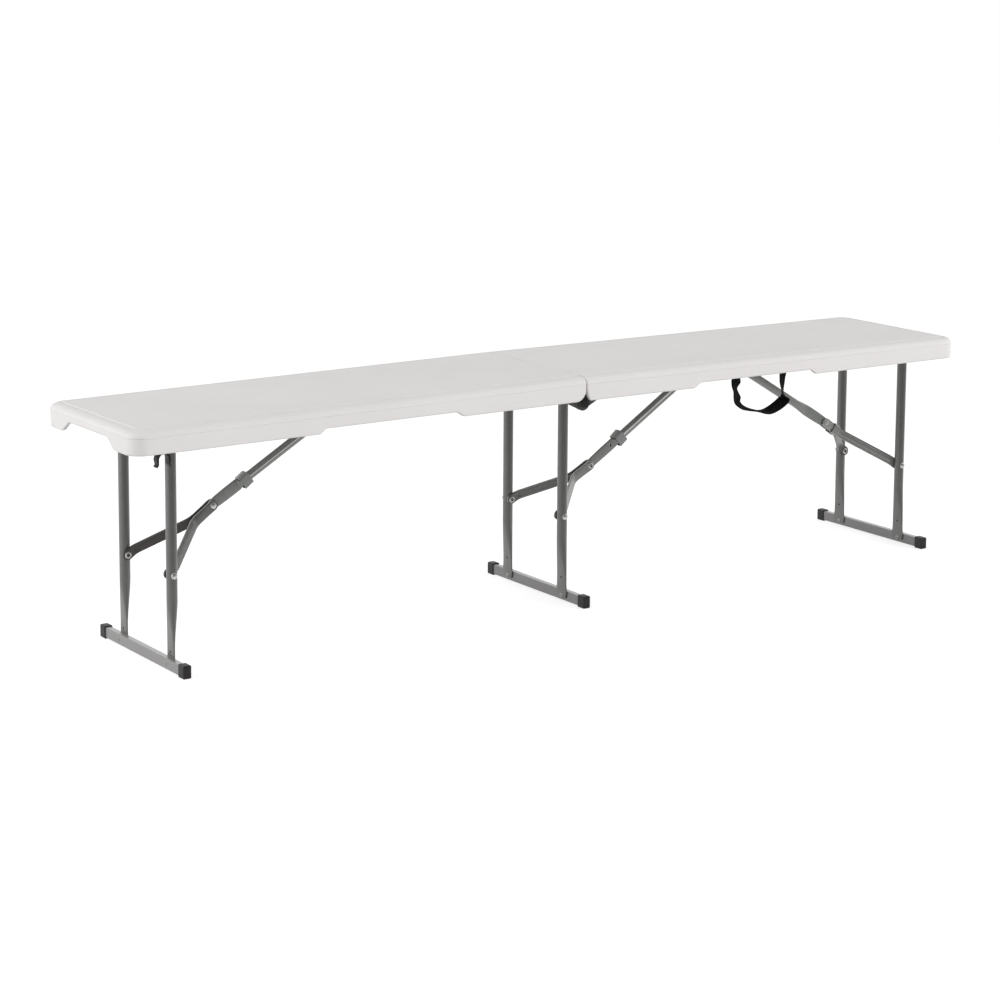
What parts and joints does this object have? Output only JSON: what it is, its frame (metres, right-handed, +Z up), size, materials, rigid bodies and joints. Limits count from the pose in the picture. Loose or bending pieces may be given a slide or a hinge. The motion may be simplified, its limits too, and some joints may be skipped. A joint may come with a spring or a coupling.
{
  "type": "folding bench",
  "caption": "Folding bench with two moulded seat halves hinged at the middle on folding steel legs with locking knee braces.",
  "frame": {"origin": "on the floor under the middle of the bench", "axes": "+X along the bench towards the half with the carrying strap, +Y across to its back edge, +Z up"},
  "size_m": [1.83, 0.34, 0.43],
  "materials": {
    "seat_plastic": "fine-grained white moulded plastic",
    "frame_steel": "satin grey powder coat",
    "ring_steel": "satin grey powder coat",
    "black_plastic": "matt black moulded plastic",
    "bright_steel": "zinc-plated steel",
    "webbing": "woven black webbing"
  },
  "bodies": {
    "left_half": {"seat_left": "seat_plastic", "hinge_brackets_left": "frame_steel", "leg_brackets_left": "frame_steel", "seat_screws_left": "bright_steel", "brace_bracket_left": "frame_steel", "brace_pin_left": "bright_steel", "snap_clip": "black_plastic"},
    "right_half": {"seat_right": "seat_plastic", "hinge_brackets_right": "frame_steel", "leg_brackets_right": "frame_steel", "seat_screws_right": "bright_steel", "brace_bracket_mid": "frame_steel", "brace_pin_mid": "bright_steel", "brace_bracket_right": "frame_steel", "brace_pin_right": "bright_steel", "carry_strap": "webbing", "strap_anchors": "bright_steel"},
    "leg_left": {"cross_tube_left": "frame_steel", "tube_plugs_left": "black_plastic", "upright_front_left": "frame_steel", "upright_back_left": "frame_steel", "foot_bar_left": "frame_steel", "foot_caps_left": "black_plastic", "foot_screws_left": "bright_steel", "arm_rivets_left": "bright_steel"},
    "fork_left": {"fork_arm_front_left": "frame_steel", "fork_arm_back_left": "frame_steel", "knee_rivet_left": "bright_steel"},
    "link_left": {"brace_tube_left": "frame_steel", "knee_pin_left": "bright_steel"},
    "ring_left": {"lock_ring_left": "ring_steel"},
    "leg_mid": {"cross_tube_mid": "frame_steel", "tube_plugs_mid": "black_plastic", "upright_front_mid": "frame_steel", "upright_back_mid": "frame_steel", "foot_bar_mid": "frame_steel", "foot_caps_mid": "black_plastic", "foot_screws_mid": "bright_steel", "arm_rivets_mid": "bright_steel"},
    "fork_mid": {"fork_arm_front_mid": "frame_steel", "fork_arm_back_mid": "frame_steel", "knee_rivet_mid": "bright_steel"},
    "link_mid": {"brace_tube_mid": "frame_steel", "knee_pin_mid": "bright_steel"},
    "ring_mid": {"lock_ring_mid": "ring_steel"},
    "leg_right": {"cross_tube_right": "frame_steel", "tube_plugs_right": "black_plastic", "upright_front_right": "frame_steel", "upright_back_right": "frame_steel", "foot_bar_right": "frame_steel", "foot_caps_right": "black_plastic", "foot_screws_right": "bright_steel", "arm_rivets_right": "bright_steel"},
    "fork_right": {"fork_arm_front_right": "frame_steel", "fork_arm_back_right": "frame_steel", "knee_rivet_right": "bright_steel"},
    "link_right": {"brace_tube_right": "frame_steel", "knee_pin_right": "bright_steel"},
    "ring_right": {"lock_ring_right": "ring_steel"}
  },
  "joints": [
    {"name": "bench_fold", "type": "hinge", "parent": "left_half", "child": "right_half", "pos_m": [0, 0, 0.385], "axis": [0, 1, 0], "range_deg": [0, 180], "deforming": ["carry_strap"]},
    {"name": "leg_fold_left", "type": "hinge", "parent": "left_half", "child": "leg_left", "pos_m": [-0.805, 0, 0.398], "axis": [0, -1, 0], "range_deg": [0, 90]},
    {"name": "fork_swing_left", "type": "hinge", "parent": "leg_left", "child": "fork_left", "pos_m": [-0.805, 0, 0.162], "axis": [0, -1, 0], "range_deg": [0, 53.23]},
    {"name": "brace_swing_left", "type": "hinge", "parent": "left_half", "child": "link_left", "pos_m": [-0.434, 0, 0.395], "axis": [0, 1, 0], "range_deg": [0, 31.62]},
    {"name": "ring_slide_left", "type": "slide", "parent": "link_left", "child": "ring_left", "axis": [0.863, 0, 0.5053], "range_m": [0, 0.06]},
    {"name": "leg_fold_mid", "type": "hinge", "parent": "right_half", "child": "leg_mid", "pos_m": [0, 0, 0.385], "axis": [0, -1, 0], "range_deg": [0, 90]},
    {"name": "fork_swing_mid", "type": "hinge", "parent": "leg_mid", "child": "fork_mid", "pos_m": [0, 0, 0.162], "axis": [0, -1, 0], "range_deg": [0, 58.66]},
    {"name": "brace_swing_mid", "type": "hinge", "parent": "right_half", "child": "link_mid", "pos_m": [0.358, 0, 0.377], "axis": [0, 1, 0], "range_deg": [0, 35.93]},
    {"name": "ring_slide_mid", "type": "slide", "parent": "link_mid", "child": "ring_mid", "axis": [0.843, 0, 0.5379], "range_m": [0, 0.06]},
    {"name": "leg_fold_right", "type": "hinge", "parent": "right_half", "child": "leg_right", "pos_m": [0.841, 0, 0.398], "axis": [0, 1, 0], "range_deg": [0, 90]},
    {"name": "fork_swing_right", "type": "hinge", "parent": "leg_right", "child": "fork_right", "pos_m": [0.841, 0, 0.162], "axis": [0, 1, 0], "range_deg": [0, 54.22]},
    {"name": "brace_swing_right", "type": "hinge", "parent": "right_half", "child": "link_right", "pos_m": [0.47, 0, 0.395], "axis": [0, -1, 0], "range_deg": [0, 32.14]},
    {"name": "ring_slide_right", "type": "slide", "parent": "fork_right", "child": "ring_right", "axis": [-0.824, 0, 0.5666], "range_m": [0, 0.01]}
  ],
  "couplings": [
    {"joint": "leg_fold_left", "follows": "bench_fold", "ratio": 0.5},
    {"joint": "fork_swing_left", "follows": "bench_fold", "ratio": 0.29573},
    {"joint": "brace_swing_left", "follows": "bench_fold", "ratio": 0.17568},
    {"joint": "leg_fold_mid", "follows": "bench_fold", "ratio": 0.5},
    {"joint": "fork_swing_mid", "follows": "bench_fold", "ratio": 0.32588},
    {"joint": "brace_swing_mid", "follows": "bench_fold", "ratio": 0.19961},
    {"joint": "leg_fold_right", "follows": "bench_fold", "ratio": 0.5},
    {"joint": "fork_swing_right", "follows": "bench_fold", "ratio": 0.3012},
    {"joint": "brace_swing_right", "follows": "bench_fold", "ratio": 0.17858}
  ]
}
